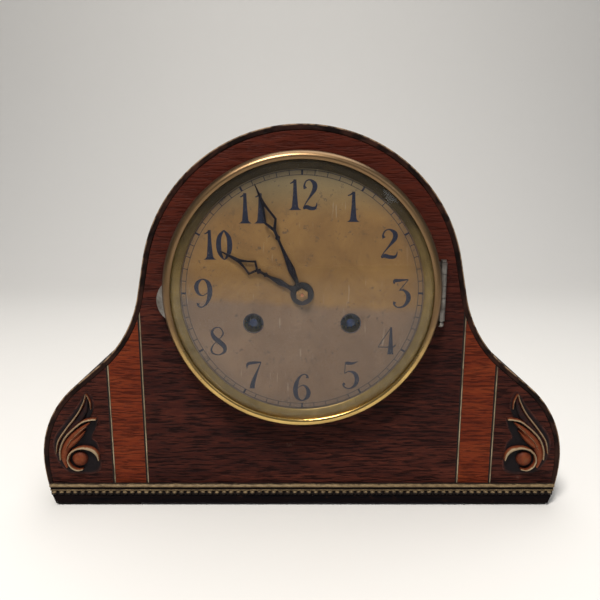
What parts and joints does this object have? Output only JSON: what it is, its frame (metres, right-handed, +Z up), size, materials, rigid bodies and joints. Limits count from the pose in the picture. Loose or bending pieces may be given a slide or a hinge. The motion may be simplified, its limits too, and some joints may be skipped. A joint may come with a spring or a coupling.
{
  "type": "mantel clock",
  "caption": "Striking mantel clock: rounded hood over a round hinged brass bezel and domed glass, low swept wooden wings with carved scrolls, key-wound movement with pendulum.",
  "frame": {"origin": "centre of the box round the whole clock, at the height of the surface the feet stand on", "axes": "+Z up, the dial faces -Y, +X to the right of someone reading the dial"},
  "size_m": [0.3256, 0.1316, 0.235],
  "materials": {
    "dark_stained_oak": "dark red-brown stained wood under worn varnish",
    "red_veneer": "orange-red figured veneer",
    "pale_stringing": "pale inlaid line, aged cream",
    "carved_wood": "carved, stained dark in the hollows, worn on the high parts",
    "black_wood": "near-black stain",
    "raw_wood": "unfinished softwood",
    "aged_brass": "old brass, tarnished",
    "clean_brass": "movement brass",
    "dial_metal": "silvered brass with heavy patina",
    "blued_steel": "blued, dark",
    "steel": "grey steel",
    "black_iron": "blacked cast iron",
    "copper": "coppery turned metal",
    "glass": "clear domed glass",
    "felt": "dark felt pad"
  },
  "bodies": {
    "case": {"case_wrap": "dark_stained_oak", "front_panel": "dark_stained_oak", "band_left": "red_veneer", "band_right": "red_veneer", "stringing_left_inner": "pale_stringing", "stringing_left_outer": "pale_stringing", "stringing_right_inner": "pale_stringing", "stringing_right_outer": "pale_stringing", "back_board": "raw_wood", "base_board": "raw_wood", "base_moulding": "pale_stringing", "plinth": "black_wood", "foot_left": "felt", "foot_right": "felt", "carving_left": "carved_wood", "carving_right": "carved_wood", "rear_hinge_leaf_case": "clean_brass", "dial_pan": "aged_brass", "dial_plate": "dial_metal", "hinge_leaf_case": "steel", "movement_plate_front": "clean_brass", "movement_plate_back": "clean_brass", "pillar_top_left": "clean_brass", "pillar_top_right": "clean_brass", "pillar_low_left": "clean_brass", "pillar_low_right": "clean_brass", "movement_strap_top": "steel", "movement_strap_bottom": "steel", "gong_block": "black_iron", "gong_rod_front": "steel", "gong_rod_rear": "steel"},
    "bezel": {"bezel_ring": "aged_brass", "sight_ring": "aged_brass", "bezel_glass": "glass", "hinge_leaf_bezel": "steel", "hinge_pin": "steel", "pull_tab": "steel"},
    "back_door": {"back_door": "raw_wood", "rear_hinge_leaf_door": "clean_brass"},
    "turn_button": {"turn_button": "clean_brass"},
    "minute_arbor": {"minute_hand": "blued_steel", "hand_nut": "aged_brass", "centre_arbor": "copper", "centre_wheel": "clean_brass", "cannon_pinion": "steel"},
    "hour_pipe": {"hour_hand": "blued_steel", "hour_wheel": "clean_brass"},
    "minute_wheel": {"minute_wheel": "clean_brass"},
    "intermediate_wheel": {"intermediate_wheel": "clean_brass"},
    "going_barrel": {"going_barrel": "clean_brass"},
    "going_winding": {"going_winding_arbor": "steel"},
    "third_wheel": {"third_wheel": "clean_brass"},
    "escape_wheel": {"escape_wheel": "clean_brass"},
    "pendulum": {"pallets": "steel", "pendulum_rod": "steel", "pendulum_bob": "clean_brass"},
    "strike_barrel": {"strike_barrel": "clean_brass"},
    "strike_winding": {"strike_winding_arbor": "steel"},
    "strike_wheel": {"strike_wheel": "clean_brass"},
    "hammer": {"hammer": "steel"}
  },
  "joints": [
    {"name": "bezel_hinge", "type": "hinge", "parent": "case", "child": "bezel", "pos_m": [0.0826, -0.04775, 0.139], "axis": [0, 0, 1], "range_deg": [0, 120]},
    {"name": "back_door_hinge", "type": "hinge", "parent": "case", "child": "back_door", "pos_m": [0.0585, 0.06365, 0.115], "axis": [0, 0, -1], "range_deg": [0, 110]},
    {"name": "turn_button_turn", "type": "hinge", "parent": "case", "child": "turn_button", "pos_m": [-0.0645, 0.06145, 0.139], "axis": [0, 1, 0], "range_deg": [0, 90]},
    {"name": "minute_spin", "type": "hinge", "parent": "case", "child": "minute_arbor", "pos_m": [0, -0.01455, 0.139], "axis": [0, 1, 0], "continuous": true},
    {"name": "hour_spin", "type": "hinge", "parent": "case", "child": "hour_pipe", "pos_m": [0, -0.01455, 0.139], "axis": [0, 1, 0], "continuous": true},
    {"name": "minute_wheel_spin", "type": "hinge", "parent": "case", "child": "minute_wheel", "pos_m": [0, -0.01455, 0.151], "axis": [0, 1, 0], "continuous": true},
    {"name": "intermediate_spin", "type": "hinge", "parent": "case", "child": "intermediate_wheel", "pos_m": [0.01963, -0.01455, 0.14647], "axis": [0, 1, 0], "continuous": true},
    {"name": "going_barrel_spin", "type": "hinge", "parent": "case", "child": "going_barrel", "pos_m": [0.0286, -0.01455, 0.121], "axis": [0, 1, 0], "continuous": true},
    {"name": "going_winding_spin", "type": "hinge", "parent": "case", "child": "going_winding", "pos_m": [0.0286, -0.01455, 0.121], "axis": [0, 1, 0], "continuous": true},
    {"name": "third_spin", "type": "hinge", "parent": "case", "child": "third_wheel", "pos_m": [-0.01316, -0.01455, 0.15339], "axis": [0, 1, 0], "continuous": true},
    {"name": "escape_spin", "type": "hinge", "parent": "case", "child": "escape_wheel", "pos_m": [0, -0.01455, 0.165], "axis": [0, 1, 0], "continuous": true},
    {"name": "pendulum_swing", "type": "hinge", "parent": "case", "child": "pendulum", "pos_m": [0, 0.00545, 0.181], "axis": [0, 1, 0], "range_deg": [-3.5, 3.5]},
    {"name": "strike_barrel_spin", "type": "hinge", "parent": "case", "child": "strike_barrel", "pos_m": [-0.0286, -0.01455, 0.121], "axis": [0, 1, 0], "continuous": true},
    {"name": "strike_winding_spin", "type": "hinge", "parent": "case", "child": "strike_winding", "pos_m": [-0.0286, -0.01455, 0.121], "axis": [0, 1, 0], "continuous": true},
    {"name": "strike_wheel_spin", "type": "hinge", "parent": "case", "child": "strike_wheel", "pos_m": [-0.03329, -0.01455, 0.14759], "axis": [0, 1, 0], "continuous": true},
    {"name": "hammer_lift", "type": "hinge", "parent": "case", "child": "hammer", "pos_m": [-0.0475, 0.01545, 0.163], "axis": [0, 1, 0], "range_deg": [0, 8]}
  ],
  "couplings": [
    {"joint": "hour_spin", "follows": "minute_spin", "ratio": 0.083333},
    {"joint": "minute_wheel_spin", "follows": "minute_spin", "ratio": -0.33333},
    {"joint": "intermediate_spin", "follows": "minute_spin", "ratio": -0.16667},
    {"joint": "going_barrel_spin", "follows": "minute_spin", "ratio": 0.025641},
    {"joint": "third_spin", "follows": "minute_spin", "ratio": -12},
    {"joint": "escape_spin", "follows": "minute_spin", "ratio": 144},
    {"joint": "strike_wheel_spin", "follows": "strike_barrel_spin", "ratio": -6.5}
  ]
}
